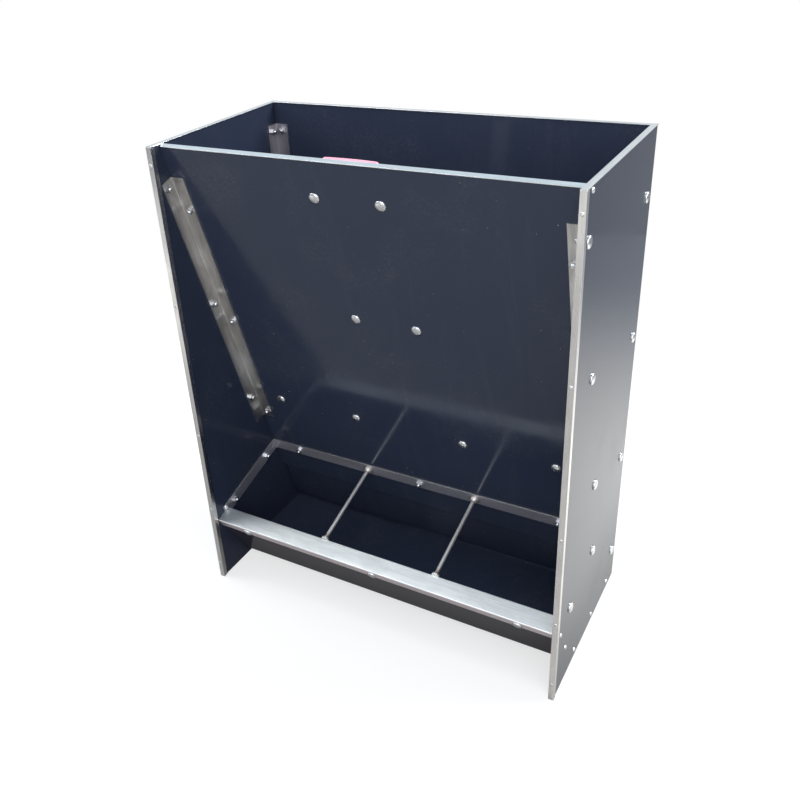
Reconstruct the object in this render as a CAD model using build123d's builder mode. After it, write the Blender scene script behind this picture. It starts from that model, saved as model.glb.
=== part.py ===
import os
from collections import namedtuple
from math import cos, radians, sin, tan

from build123d import *

os.makedirs("parts", exist_ok=True)

# Overall sizes, in millimetres and degrees
height = 1000.0  # ground to the top of the edge strips
width = 800.0  # over the outer faces of the side panels
depth = 400.0  # front of the trims to the back edges of the side panels
board = 8.0  # plastic board of every panel
ground_gap = 16.0  # under the trough floor and the back panel

# Trims and strips on the board edges
edge_sheet = 1.5
trim_leg = 11.0
rivet_shares = (0.04, 0.193, 0.387, 0.688, 0.965)  # of the height

# Sloped front panel of the hopper
hopper_slope = 16.25  # from the vertical
hopper_setback = 25.0  # top edge behind the front of the trims
hopper_below_guard = 80.0  # lower edge below the guard bar's bolts
top_screw_drop = 5.0  # end screw below the top edge

# Trough front board and lip
trough_setback = 95.5  # foot of the board behind the front of the trims
trough_lean = 30.2  # from the vertical
trough_board_length = 161.0
trough_screw_drops = (8.0, 82.0)  # end screws below the top edge
lip_sheet = 2.0
lip_width = 37.5
lip_front_flange = 25.0
lip_back_flange = 18.0
lip_bolt_drop = 14.0  # below the top edge of the board
end_bolt_inset = 75.0  # outer bolts of lip and guard bar from the side panels

# Trough floor end screws
floor_screw_front = 28.0  # first one behind the foot of the front board
floor_screw_back = 42.0  # last one ahead of the back panel
floor_screw_count = 3

# Guard bar and divider rods
guard_height = 30.0
guard_sheet = 3.0
guard_rear_gap = 44.5  # first side bolt from the hopper panel
guard_front_gap = 37.8  # last side bolt from the front end of the bar
guard_lap = 12.0  # ends of the bar past the back edge of the lip
guard_end_screw = 6.0  # from the front end of the bar
guard_screw_rise = 9.0  # end screw above the middle of the bar
guard_bend = 8.0
feed_place_count = 3
rod_diameter = 8.0
rod_below_lip = 2.0
guard_above_rods = 2.0
rod_weld_diameter = 14.0
rod_weld_length = 4.0

# Steel angles in the corners
angle_leg = 30.0
angle_sheet = 2.0
angle_gauge = 20.5  # bolts from the heel
back_angle_gauge = 17.0
angle_behind_trim = 2.5  # side leg of the front angles
hopper_angle_length = 640.0
hopper_angle_side_bolt = 14.5  # first bolt from the top end
hopper_angle_panel_bolt = 71.0
hopper_angle_pitch = 274.5
hopper_angle_bolts = 3
back_angle_bottom = 60.0
back_angle_top_gap = 45.0
back_angle_first_left = 14.0  # first bolt from the top end
back_angle_first_right = 76.0
back_angle_pitch = 273.0
back_angle_pitched_bolts = 3
back_angle_last = 29.0  # last bolt from the lower end

# Feed gate
gate_board = 8.0
gate_side_gap = 2.0
gate_travel = 60.0
gate_feed_gap = 15.0  # over the trough floor at rest
gate_above_guides = 70.0  # board above the guide bolts at rest
guide_row = 631.5  # guide bolts down the slope
guide_bolt_inset = 72.5  # outer guide bolts from the side panels
guide_bolt_pitch = 195.0
guide_slot_play = 0.6
guide_washer_diameter = 24.0
guide_washer_height = 1.6

# Pull bar of the gate, its two guides and its grip
upper_row = 72.0  # guide bolts down the slope
lower_row = 338.0
strap_bolt_x = 64.0  # bolts to each side of the middle of a strap
strap_shift = 10.0  # middle of a strap beside the pull bar
strap_end = 16.0  # strap beyond its bolts
strap_half_width = 15.0
strap_sheet = 2.5
strap_bend = 4.0
strap_ramp = 6.0
bar_x = -4.0  # pull bar beside the middle of the feeder
bar_width = 40.0
bar_sheet = 5.0
bar_lap = 90.0  # bar on the gate
bar_bolt_ends = (20.0, 65.0)  # bolts from the lower end of the bar
grip_length = 108.0
grip_diameter = 19.0
grip_end_diameter = 17.0
grip_rounding = 7.0
grip_drop = 12.0  # grip axis down the slope
neck_width = 54.0
neck_depth = 14.0
neck_rounding = 4.0
neck_stop_gap = 4.0  # neck above the upper guide at rest
pin_diameter = 5.0
pin_x = 12.0
wing_hub_diameter = 13.0
wing_hub_length = 12.0
wing_span = 38.0
wing_length = 16.0
wing_sheet = 3.5
wing_sink = 4.0  # middle of the wings below the end of the hub
wing_rounding = 6.0

# Clearances
hole_clearance = 0.3  # radial, bolts in their holes
fit_clearance = 0.05  # nuts on their bolts, bar in its grip
running_clearance = 0.08  # radial, lock screw in its nut
slide_clearance = 0.4  # gate and pull bar in their guides
bar_side_clearance = 1.0  # pull bar beside the bends of the straps
lock_gap = 0.35  # lock screw off the bar
lip_clearance = 0.5  # lip beside the side panels and the guard bar

# Fasteners: shank, head and nut sizes
BoltSize = namedtuple("BoltSize", "shank head rise rim flats nut tail")
m8 = BoltSize(shank=8.0, head=20.6, rise=4.6, rim=1.2, flats=13.0, nut=6.5, tail=3.0)
sunk_m8 = m8._replace(head=16.0)
sunk_angle = 45.0
sunk_margin = 0.2  # flush heads below the board face
ScrewSize = namedtuple("ScrewSize", "shank head rise length")
edge_screw = ScrewSize(shank=4.0, head=9.0, rise=2.4, length=40.0)
guard_screw = ScrewSize(shank=4.5, head=11.0, rise=3.2, length=9.0)
trim_rivet = ScrewSize(shank=3.0, head=7.0, rise=1.0, length=10.0)
dome_share = 0.55  # top of a dome against its rim
blind_margin = 1.0  # blind holes beyond their screws

# Positions that follow from the sizes
front_y = -depth / 2
back_y = depth / 2
panel_front_y = front_y + edge_sheet
panel_top_z = height - edge_sheet
inner_x = width / 2 - board
back_face_y = back_y + trim_rivet.rise - m8.rise  # bolt heads stand out as far as the rivets
back_inner_y = back_face_y - board
floor_top_z = ground_gap + board
strip_width = board + 2 * edge_sheet
strip_half_length = inner_x - edge_sheet
trim_x = (width - board) / 2
rivet_heights = [height * a for a in rivet_shares]
sin_slope = sin(radians(hopper_slope))
cos_slope = cos(radians(hopper_slope))
sin_lean = sin(radians(trough_lean))
cos_lean = cos(radians(trough_lean))
hopper_top_y = front_y + hopper_setback
hopper_top_z = panel_top_z - edge_sheet - board * sin_slope
slope_axis = Vector(0, sin_slope, -cos_slope)
inward_axis = Vector(0, cos_slope, sin_slope)
both_sides = (-1, 1)


# The hopper frame: s runs down the slope, w goes back from the front face of the hopper panel
def hopper_point(s, w):
    y = hopper_top_y + s * sin_slope + w * cos_slope
    z = hopper_top_z - s * cos_slope + w * sin_slope
    return (y, z)


def hopper_frame(y, z):
    dy = y - hopper_top_y
    dz = z - hopper_top_z
    return (dy * sin_slope - dz * cos_slope, dy * cos_slope + dz * sin_slope)


# Sketch plane with X and s as its axes, facing back
def slope_plane(w):
    return Plane(origin=(0, *hopper_point(0, w)), x_dir=(1, 0, 0), z_dir=inward_axis)


# The same plane facing front, for bolt heads and nuts on the front; its second axis is -s
def front_slope_plane(w):
    return Plane(origin=(0, *hopper_point(0, w)), x_dir=(1, 0, 0), z_dir=-inward_axis)


# Sketch plane across the slope with X and -w as its axes, facing down the slope
def cross_plane(s):
    return Plane(origin=(0, *hopper_point(s, 0)), x_dir=(1, 0, 0), z_dir=slope_axis)


# Sketch plane parallel to the side panels, facing outwards; its first axis is Y on the right
def side_plane(side, x):
    return Plane(origin=(side * x, 0, 0), x_dir=(0, side, 0), z_dir=(side, 0, 0))


# The same plane facing inwards
def inner_side_plane(side, x):
    return Plane(origin=(side * x, 0, 0), x_dir=(0, -side, 0), z_dir=(-side, 0, 0))


def on_side(side, points):
    return [(side * y, z) for y, z in points]


def on_inner_side(side, points):
    return [(-side * y, z) for y, z in points]


def spread(first, last, count):
    return [first + (last - first) * i / (count - 1) for i in range(count)]


# Trough front board and lip, as points in Y and Z
foot_front = (front_y + trough_setback, ground_gap)
board_top_front = (
    foot_front[0] - trough_board_length * sin_lean,
    foot_front[1] + trough_board_length * cos_lean,
)
top_bevel = board / cos(radians(trough_lean - hopper_slope))
board_top_back = (
    board_top_front[0] + top_bevel * cos_slope,
    board_top_front[1] + top_bevel * sin_slope,
)
foot_back = (foot_front[0] + board / cos_lean, ground_gap)
floor_front_y = foot_back[0] - board * tan(radians(trough_lean))
lip_under_s, lip_front_w = hopper_frame(*board_top_front)
lip_back_w = lip_front_w + lip_width - lip_sheet
lip_rear_w = lip_back_w + lip_sheet
rod_s = lip_under_s - lip_sheet + rod_below_lip
guard_s = rod_s - guard_above_rods
guard_top_s = guard_s - guard_height / 2
guard_front_w = lip_rear_w - guard_lap
hopper_length = guard_s + hopper_below_guard
lip_half_length = inner_x - lip_clearance
angle_tip_y = trim_leg + angle_behind_trim - hopper_setback + angle_leg * cos_slope
hopper_angle_top = angle_tip_y / sin_slope


# A point of the trough front board, down from its top edge and back from its front face
def trough_point(drop, back):
    y = board_top_front[0] + drop * sin_lean + back * cos_lean
    z = board_top_front[1] - drop * cos_lean + back * sin_lean
    return (y, z)


# Sketch plane on the trough front board, facing front
def trough_plane(back):
    out = (0, -cos_lean, -sin_lean)
    return Plane(origin=(0, *trough_point(0, back)), x_dir=(1, 0, 0), z_dir=out)


# Sketch plane inside the trough front board, facing back; its second axis is the drop
def trough_back_plane(back):
    inward = (0, cos_lean, sin_lean)
    return Plane(origin=(0, *trough_point(0, back)), x_dir=(1, 0, 0), z_dir=inward)


# Bolt positions
end_bolt_x = (end_bolt_inset - inner_x, 0, inner_x - end_bolt_inset)
rod_x = inner_x / feed_place_count
angle_bolt_x = inner_x - angle_gauge
outer_guide_x = inner_x - guide_bolt_inset
guide_bolt_x = (outer_guide_x - guide_bolt_pitch, outer_guide_x)
hopper_pitches = [hopper_angle_pitch * i for i in range(hopper_angle_bolts)]
hopper_side_drops = [hopper_angle_side_bolt + a for a in hopper_pitches]
hopper_panel_drops = [hopper_angle_panel_bolt + a for a in hopper_pitches]
hopper_side_bolts = [hopper_point(hopper_angle_top + a, -angle_gauge) for a in hopper_side_drops]
hopper_panel_bolts = [
    (side * angle_bolt_x, hopper_angle_top + a)
    for side in both_sides
    for a in hopper_panel_drops
]
strap_middles = {upper_row: bar_x - strap_shift, lower_row: bar_x + strap_shift}


def strap_bolts(row):
    return [(strap_middles[row] + side * strap_bolt_x, row) for side in both_sides]


all_strap_bolts = strap_bolts(upper_row) + strap_bolts(lower_row)
guide_bolts = [(side * x, guide_row) for side in both_sides for x in guide_bolt_x]
guard_rear_bolts = [(x, guard_s) for x in end_bolt_x]
guard_bolt_ws = (-guard_rear_gap, guard_front_w + guard_front_gap)
guard_side_bolts = [hopper_point(guard_s, w) for w in guard_bolt_ws]
guard_end_point = hopper_point(guard_s - guard_screw_rise, guard_front_w + guard_end_screw)
lip_bolts = [(x, lip_bolt_drop) for x in end_bolt_x]
back_angle_top = height - back_angle_top_gap
back_angle_first = {-1: back_angle_first_left, 1: back_angle_first_right}


def back_angle_heights(side):
    pitched = [
        back_angle_top - back_angle_first[side] - back_angle_pitch * i
        for i in range(back_angle_pitched_bolts)
    ]
    return pitched + [back_angle_bottom + back_angle_last]


floor_first_y = foot_front[0] + floor_screw_front
floor_last_y = back_inner_y - floor_screw_back
floor_screw_ys = spread(floor_first_y, floor_last_y, floor_screw_count)
floor_screws = [(y, ground_gap + board / 2) for y in floor_screw_ys]
trough_screws = [trough_point(a, board / 2) for a in trough_screw_drops]
hopper_screws = [hopper_point(top_screw_drop, board / 2)]
edge_screws = floor_screws + trough_screws + hopper_screws


def back_side_bolts(side):
    return [(back_inner_y - back_angle_gauge, z) for z in back_angle_heights(side)]


def back_rear_bolts(side):
    return [(side * (inner_x - back_angle_gauge), z) for z in back_angle_heights(side)]


# Gate and pull bar positions
inner_w = board
gate_front_w = inner_w + slide_clearance
gate_back_w = gate_front_w + gate_board
gate_top_s = guide_row - gate_above_guides
gate_bottom_z = floor_top_z + gate_feed_gap
gate_bottom_s = (hopper_top_z + gate_front_w * sin_slope - gate_bottom_z) / cos_slope
packing_back_w = inner_w + gate_board
bar_back_w = gate_back_w + bar_sheet
bar_middle_w = gate_back_w + bar_sheet / 2
bar_bottom_s = gate_top_s + bar_lap
bar_bolts = [(bar_x, bar_bottom_s - a) for a in bar_bolt_ends]
bridge_w = bar_back_w + slide_clearance
bridge_half = bar_width / 2 + bar_side_clearance
neck_bottom_s = upper_row - strap_half_width - neck_stop_gap
pin_s = (grip_drop + grip_diameter / 2 + neck_bottom_s) / 2
grip_pin_points = [(bar_x + side * pin_x, pin_s) for side in both_sides]


def save(name, builder):
    builder.part.label = name
    export_step(builder.part, f"parts/{name}.step")


# Radius of the clear hole for a bolt or screw
def clear(size):
    return size.shank / 2 + hole_clearance


# Cut round holes through what stands on a plane
def drill(plane, points, radius, near, far):
    with BuildSketch(plane.offset(near)) as holes:
        with Locations(*points):
            Circle(radius)
    extrude(holes.sketch, amount=far - near, mode=Mode.SUBTRACT)


# Holes for the edge screws in one end of a board between the side panels
def drill_board_end(side, points):
    reach = edge_screw.length - board + blind_margin
    drill(side_plane(side, inner_x), on_side(side, points), clear(edge_screw), 0, -reach)


# Cut the seats of flush heads, which open towards the plane's normal
def sink(plane, points, size):
    with BuildSketch(plane) as seats:
        with Locations(*points):
            Circle(size.head / 2 + hole_clearance)
    sink_depth = (size.head - size.shank) / 2
    extrude(seats.sketch, amount=-sink_depth, taper=sunk_angle, mode=Mode.SUBTRACT)


# One dome-headed bolt, head up from the origin
def dome_bolt(size, grip):
    with BuildPart() as bolt:
        with BuildSketch():
            Circle(size.head / 2)
        extrude(amount=size.rim)
        with BuildSketch(Plane.XY.offset(size.rim)):
            Circle(size.head / 2)
        with BuildSketch(Plane.XY.offset(size.rise)):
            Circle(size.head / 2 * dome_share)
        loft()
        with BuildSketch():
            Circle(size.shank / 2)
        extrude(amount=-(grip + size.nut + size.tail))
    return bolt.part


# One flush-headed bolt, top of the head at the origin
def sunk_bolt(size, grip):
    with BuildPart() as bolt:
        with BuildSketch():
            Circle(size.head / 2)
        extrude(amount=-(size.head - size.shank) / 2, taper=sunk_angle)
        with BuildSketch():
            Circle(size.shank / 2)
        extrude(amount=-(grip + size.nut + size.tail))
    return bolt.part


# One hexagon nut standing on the origin
def hex_nut(size):
    with BuildPart() as nut:
        with BuildSketch():
            RegularPolygon(size.flats / 2, 6, major_radius=False)
            Circle(size.shank / 2 + fit_clearance, mode=Mode.SUBTRACT)
        extrude(amount=size.nut)
    return nut.part


# One screw or rivet, head up from the origin
def headed_screw(size):
    with BuildPart() as screw:
        with BuildSketch():
            Circle(size.head / 2)
        with BuildSketch(Plane.XY.offset(size.rise)):
            Circle(size.head / 2 * dome_share)
        loft()
        with BuildSketch():
            Circle(size.shank / 2)
        extrude(amount=-size.length)
    return screw.part


# Copies of one fastener on several planes
def place(piece, seats):
    with BuildPart() as group:
        for plane, points in seats:
            with Locations(plane):
                with Locations(*points):
                    add(piece)
    return group


# Sketch plane across the front edge of a side panel, facing front
def trim_plane(side, y):
    return Plane(origin=(side * trim_x, y, 0), x_dir=(1, 0, 0), z_dir=(0, -1, 0))


rivet_points = [(0, z) for z in rivet_heights]


# Side panels
def side_panel(side):
    outer = side_plane(side, width / 2)
    inner = inner_side_plane(side, inner_x)
    big = hopper_side_bolts + back_side_bolts(side) + guard_side_bolts
    with BuildPart() as panel:
        with BuildSketch(outer):
            with Locations((side * (panel_front_y + back_y) / 2, panel_top_z / 2)):
                Rectangle(back_y - panel_front_y, panel_top_z)
        extrude(amount=-board)
        drill(outer, on_side(side, big), clear(m8), 0, -board)
        drill(outer, on_side(side, edge_screws), clear(edge_screw), 0, -board)
        screw_depth = guard_screw.length - guard_sheet + blind_margin
        drill(inner, on_inner_side(side, [guard_end_point]), clear(guard_screw), 0, -screw_depth)
        rivet_depth = trim_rivet.length - edge_sheet + blind_margin
        drill(trim_plane(side, panel_front_y), rivet_points, clear(trim_rivet), 0, -rivet_depth)
    return panel


left_side_panel = side_panel(-1)
right_side_panel = side_panel(1)

# Back panel
with BuildPart() as back_panel:
    with BuildSketch(Plane.XZ.offset(-back_face_y)):
        with Locations((0, (ground_gap + panel_top_z) / 2)):
            Rectangle(2 * inner_x, panel_top_z - ground_gap)
    extrude(amount=board)
    for side in both_sides:
        drill(Plane.XZ.offset(-back_face_y), back_rear_bolts(side), clear(m8), 0, board)

# Sloped front panel of the hopper
with BuildPart() as hopper_front_panel:
    with BuildSketch(slope_plane(0)):
        with Locations((0, hopper_length / 2)):
            Rectangle(2 * inner_x, hopper_length)
    extrude(amount=board)
    flush_bolts = hopper_panel_bolts + guard_rear_bolts
    drill(slope_plane(0), all_strap_bolts + guide_bolts + flush_bolts, clear(m8), 0, board)
    sink(slope_plane(board), flush_bolts, sunk_m8)
    for side in both_sides:
        drill_board_end(side, hopper_screws)

# Trough floor
with BuildPart() as trough_floor:
    with BuildSketch(Plane.YZ):
        with BuildLine():
            Polyline(
                foot_back,
                (back_inner_y, ground_gap),
                (back_inner_y, floor_top_z),
                (floor_front_y, floor_top_z),
                close=True,
            )
        make_face()
    extrude(amount=inner_x, both=True)
    for side in both_sides:
        drill_board_end(side, floor_screws)

# Trough front board
with BuildPart() as trough_front_board:
    with BuildSketch(Plane.YZ):
        with BuildLine():
            Polyline(foot_front, foot_back, board_top_back, board_top_front, close=True)
        make_face()
    extrude(amount=inner_x, both=True)
    drill(trough_back_plane(0), lip_bolts, clear(m8), 0, board)
    for side in both_sides:
        drill_board_end(side, trough_screws)

# Bent lip over the trough front board, notched round the ends of the guard bar
with BuildPart() as trough_lip:
    with BuildSketch(Plane.YZ):
        with BuildLine():
            Polyline(
                trough_point(lip_front_flange, 0),
                board_top_front,
                hopper_point(lip_under_s, lip_back_w),
                hopper_point(lip_under_s + lip_back_flange - lip_sheet, lip_back_w),
            )
            offset(amount=lip_sheet, side=Side.LEFT)
        make_face()
    extrude(amount=lip_half_length, both=True)
    drill(trough_back_plane(-lip_sheet), lip_bolts, clear(m8), 0, lip_sheet)
    notch_length = guard_lap + lip_clearance
    with BuildSketch(cross_plane(lip_under_s - lip_sheet)):
        for side in both_sides:
            notch_x = side * (lip_half_length - guard_sheet / 2)
            with Locations((notch_x, notch_length / 2 - lip_rear_w)):
                Rectangle(guard_sheet, notch_length)
    extrude(amount=lip_back_flange, mode=Mode.SUBTRACT)

# Guard bar, a flat bar bent to a U
with BuildPart() as guard_bar:
    with BuildSketch(cross_plane(guard_top_s)):
        with BuildLine():
            FilletPolyline(
                (-inner_x, -guard_front_w),
                (-inner_x, 0),
                (inner_x, 0),
                (inner_x, -guard_front_w),
                radius=guard_bend,
            )
            offset(amount=guard_sheet, side=Side.LEFT)
        make_face()
    extrude(amount=guard_height)
    drill(front_slope_plane(0), [(x, -s) for x, s in guard_rear_bolts], clear(m8), 0, guard_sheet)
    for side in both_sides:
        inner = inner_side_plane(side, inner_x)
        drill(inner, on_inner_side(side, guard_side_bolts), clear(m8), 0, guard_sheet)
        drill(inner, on_inner_side(side, [guard_end_point]), clear(guard_screw), 0, guard_sheet)


# Divider rods, welded to the guard bar and the lip
def divider_rod(side):
    rear_w = -guard_sheet
    ends = ((rear_w, rear_w - rod_weld_length), (lip_rear_w, lip_rear_w + rod_weld_length))
    with BuildPart() as rod:
        with BuildSketch(slope_plane(lip_rear_w)):
            with Locations((side * rod_x, rod_s)):
                Circle(rod_diameter / 2)
        extrude(amount=rear_w - lip_rear_w)
        for foot_w, toe_w in ends:
            with BuildSketch(slope_plane(foot_w)):
                with Locations((side * rod_x, rod_s)):
                    Circle(rod_weld_diameter / 2)
            with BuildSketch(slope_plane(toe_w)):
                with Locations((side * rod_x, rod_s)):
                    Circle(rod_diameter / 2)
            loft()
    return rod


left_divider_rod = divider_rod(-1)
right_divider_rod = divider_rod(1)


# U trims on the front edges of the side panels
def front_trim(side):
    middle_x = side * trim_x
    with BuildPart() as trim:
        with BuildSketch():
            with Locations((middle_x, front_y + trim_leg / 2)):
                Rectangle(strip_width, trim_leg)
            with Locations((middle_x, panel_front_y + trim_leg / 2)):
                Rectangle(board, trim_leg, mode=Mode.SUBTRACT)
        extrude(amount=panel_top_z)
        drill(trim_plane(side, front_y), rivet_points, clear(trim_rivet), 0, -edge_sheet)
    return trim


left_front_trim = front_trim(-1)
right_front_trim = front_trim(1)
trim_rivets = place(
    headed_screw(trim_rivet),
    [(trim_plane(side, front_y), rivet_points) for side in both_sides],
)


# Flat strips on the top edges
def side_strip(side):
    with BuildPart() as strip:
        with BuildSketch(Plane.XY.offset(panel_top_z)):
            with Locations((side * trim_x, 0)):
                Rectangle(strip_width, depth)
        extrude(amount=edge_sheet)
    return strip


left_top_strip = side_strip(-1)
right_top_strip = side_strip(1)

with BuildPart() as back_top_strip:
    with BuildSketch(Plane.XY.offset(panel_top_z)):
        with Locations((0, (back_inner_y + back_face_y) / 2)):
            Rectangle(2 * strip_half_length, strip_width)
    extrude(amount=edge_sheet)

with BuildPart() as front_top_strip:
    with BuildSketch(cross_plane(-edge_sheet)):
        with Locations((0, -board / 2)):
            Rectangle(2 * strip_half_length, strip_width)
    extrude(amount=edge_sheet)


# An angle section with its heel at the origin, legs along the given directions
def angle_section(heel, along_x, along_y):
    bend = 2 * angle_sheet
    with BuildLine() as outline:
        FilletPolyline(
            (heel[0] + along_x * angle_leg, heel[1]),
            heel,
            (heel[0], heel[1] + along_y * angle_leg),
            radius=bend,
        )
        offset(amount=angle_sheet, side=Side.LEFT if along_x * along_y < 0 else Side.RIGHT)
    make_face(outline.edges())


# Front corner angles, between the hopper panel and the side panels
def hopper_angle(side):
    with BuildPart() as angle:
        with BuildSketch(cross_plane(hopper_angle_top)):
            angle_section((side * inner_x, 0), -side, 1)
        extrude(amount=hopper_angle_length)
        inner = inner_side_plane(side, inner_x)
        drill(inner, on_inner_side(side, hopper_side_bolts), clear(m8), 0, angle_sheet)
        points = [(side * angle_bolt_x, -(hopper_angle_top + a)) for a in hopper_panel_drops]
        drill(front_slope_plane(0), points, clear(m8), 0, angle_sheet)
    return angle


left_hopper_angle = hopper_angle(-1)
right_hopper_angle = hopper_angle(1)


# Back corner angles, between the back panel and the side panels
def back_angle(side):
    with BuildPart() as angle:
        with BuildSketch(Plane.XY.offset(back_angle_bottom)):
            angle_section((side * inner_x, back_inner_y), -side, -1)
        extrude(amount=back_angle_top - back_angle_bottom)
        inner = inner_side_plane(side, inner_x)
        drill(inner, on_inner_side(side, back_side_bolts(side)), clear(m8), 0, angle_sheet)
        drill(Plane.XZ.offset(-back_inner_y), back_rear_bolts(side), clear(m8), 0, angle_sheet)
    return angle


left_back_angle = back_angle(-1)
right_back_angle = back_angle(1)


# Packing pieces under the two guide straps
def strap_ends(row):
    reach = strap_bolt_x + strap_end
    return strap_middles[row] - reach, strap_middles[row] + reach


def guide_packing(row):
    start, end = strap_ends(row)
    with BuildPart() as packing:
        with BuildSketch(slope_plane(inner_w)):
            with Locations(((start + end) / 2, row)):
                Rectangle(end - start, 2 * strap_half_width)
        extrude(amount=gate_board)
        drill(slope_plane(inner_w), strap_bolts(row), clear(m8), 0, gate_board)
    return packing


upper_guide_packing = guide_packing(upper_row)
lower_guide_packing = guide_packing(lower_row)


# Guide straps, bent over the pull bar
def guide_strap(row):
    start, end = strap_ends(row)
    with BuildPart() as strap:
        with BuildSketch(cross_plane(row - strap_half_width)):
            with BuildLine():
                FilletPolyline(
                    (start, -packing_back_w),
                    (bar_x - bridge_half - strap_ramp, -packing_back_w),
                    (bar_x - bridge_half, -bridge_w),
                    (bar_x + bridge_half, -bridge_w),
                    (bar_x + bridge_half + strap_ramp, -packing_back_w),
                    (end, -packing_back_w),
                    radius=strap_bend,
                )
                offset(amount=strap_sheet, side=Side.RIGHT)
            make_face()
        extrude(amount=2 * strap_half_width)
        drill(slope_plane(packing_back_w), strap_bolts(row), clear(m8), 0, strap_sheet)
        if row == upper_row:
            drill(slope_plane(bridge_w), [(bar_x, row)], clear(m8), 0, strap_sheet)
    return strap


upper_guide_strap = guide_strap(upper_row)
lower_guide_strap = guide_strap(lower_row)

# Nut welded on the upper strap, for the lock screw
lock_nut_w = bridge_w + strap_sheet
lock_nut_end_w = lock_nut_w + m8.nut
with BuildPart() as lock_nut:
    with BuildSketch(slope_plane(lock_nut_w)):
        with Locations((bar_x, upper_row)):
            RegularPolygon(m8.flats / 2, 6, major_radius=False)
            Circle(m8.shank / 2 + running_clearance, mode=Mode.SUBTRACT)
    extrude(amount=m8.nut)

# Lock screw with wings
tip_w = bar_back_w + lock_gap
hub_w = lock_nut_end_w + m8.tail
hub_end_w = hub_w + wing_hub_length
wing_middle_w = hub_end_w - wing_sink
with BuildPart() as lock_screw:
    with BuildSketch(slope_plane(tip_w)):
        with Locations((bar_x, upper_row)):
            Circle(m8.shank / 2)
    extrude(amount=hub_w - tip_w)
    with BuildSketch(slope_plane(hub_w)):
        with Locations((bar_x, upper_row)):
            Circle(wing_hub_diameter / 2)
    extrude(amount=wing_hub_length)
    with BuildSketch(cross_plane(upper_row - wing_sheet / 2)):
        for side in both_sides:
            with Locations((bar_x + side * wing_span / 4, -wing_middle_w)):
                RectangleRounded(wing_span / 2, wing_length, wing_rounding)
    extrude(amount=wing_sheet)

# Pull bar
with BuildPart() as pull_bar:
    with BuildSketch(slope_plane(gate_back_w)):
        with Locations((bar_x, (grip_drop + bar_bottom_s) / 2)):
            Rectangle(bar_width, bar_bottom_s - grip_drop)
    extrude(amount=bar_sheet)
    drill(slope_plane(gate_back_w), bar_bolts, clear(m8), 0, bar_sheet)
    drill(slope_plane(gate_back_w), grip_pin_points, pin_diameter / 2 + fit_clearance, 0, bar_sheet)

# Grip with its neck on the pull bar
grip_origin = (bar_x, *hopper_point(grip_drop, bar_middle_w))
grip_plane = Plane(origin=grip_origin, x_dir=(1, 0, 0), z_dir=slope_axis)
with BuildPart() as adjuster_grip:
    with BuildSketch(grip_plane):
        with BuildLine():
            ThreePointArc(
                (-grip_length / 2, grip_end_diameter / 2),
                (0, grip_diameter / 2),
                (grip_length / 2, grip_end_diameter / 2),
            )
            Polyline(
                (grip_length / 2, grip_end_diameter / 2),
                (grip_length / 2, 0),
                (-grip_length / 2, 0),
                (-grip_length / 2, grip_end_diameter / 2),
            )
        make_face()
    revolve(axis=Axis(grip_plane.origin, grip_plane.x_dir))
    fillet(edges().filter_by(GeomType.CIRCLE), grip_rounding)
    with BuildSketch(grip_plane):
        RectangleRounded(neck_width, neck_depth, neck_rounding)
    extrude(amount=neck_bottom_s - grip_drop)
    with BuildSketch(grip_plane):
        Rectangle(bar_width + 2 * fit_clearance, bar_sheet + 2 * fit_clearance)
    extrude(amount=neck_bottom_s - grip_drop, mode=Mode.SUBTRACT)
    neck_front = slope_plane(bar_middle_w - neck_depth / 2)
    drill(neck_front, grip_pin_points, pin_diameter / 2 + fit_clearance, 0, neck_depth)

# Cross pins through neck and bar
with BuildPart() as grip_pins:
    with BuildSketch(slope_plane(bar_middle_w - neck_depth / 2)):
        with Locations(*grip_pin_points):
            Circle(pin_diameter / 2)
    extrude(amount=neck_depth)

# Feed gate
with BuildPart() as feed_gate:
    with BuildSketch(slope_plane(gate_front_w)):
        with Locations((0, (gate_top_s + gate_bottom_s) / 2)):
            Rectangle(2 * (inner_x - gate_side_gap), gate_bottom_s - gate_top_s)
        with Locations(*[(x, s + gate_travel / 2) for x, s in guide_bolts]):
            SlotCenterToCenter(
                gate_travel,
                m8.shank + 2 * guide_slot_play,
                rotation=90,
                mode=Mode.SUBTRACT,
            )
    extrude(amount=gate_board)
    drill(slope_plane(gate_front_w), bar_bolts, clear(m8), 0, gate_board)
    front_bar_bolts = [(x, -s) for x, s in bar_bolts]
    sink(front_slope_plane(gate_front_w), front_bar_bolts, sunk_m8)

# Bolts and nuts, one group for each set
panel_front = front_slope_plane(0)
strap_grip = packing_back_w + strap_sheet
guide_strap_bolts = place(
    dome_bolt(m8, strap_grip),
    [(panel_front, [(x, -s) for x, s in all_strap_bolts])],
)
guide_strap_nuts = place(hex_nut(m8), [(slope_plane(strap_grip), all_strap_bolts)])

washer_w = gate_back_w + slide_clearance
guide_grip = washer_w + guide_washer_height
guide_seats = [(panel_front, [(x, -s) for x, s in guide_bolts])]
gate_guide_bolts = place(dome_bolt(m8, guide_grip), guide_seats)
gate_guide_nuts = place(hex_nut(m8), [(slope_plane(guide_grip), guide_bolts)])
with BuildPart() as gate_guide_washers:
    with BuildSketch(slope_plane(washer_w)):
        with Locations(*guide_bolts):
            Circle(guide_washer_diameter / 2)
            Circle(m8.shank / 2 + fit_clearance, mode=Mode.SUBTRACT)
    extrude(amount=guide_washer_height)

gate_sunk_plane = front_slope_plane(gate_front_w + sunk_margin)
gate_bar_bolts = place(
    sunk_bolt(sunk_m8, gate_board + bar_sheet),
    [(gate_sunk_plane, front_bar_bolts)],
)
gate_bar_nuts = place(hex_nut(m8), [(slope_plane(bar_back_w), bar_bolts)])

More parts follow.
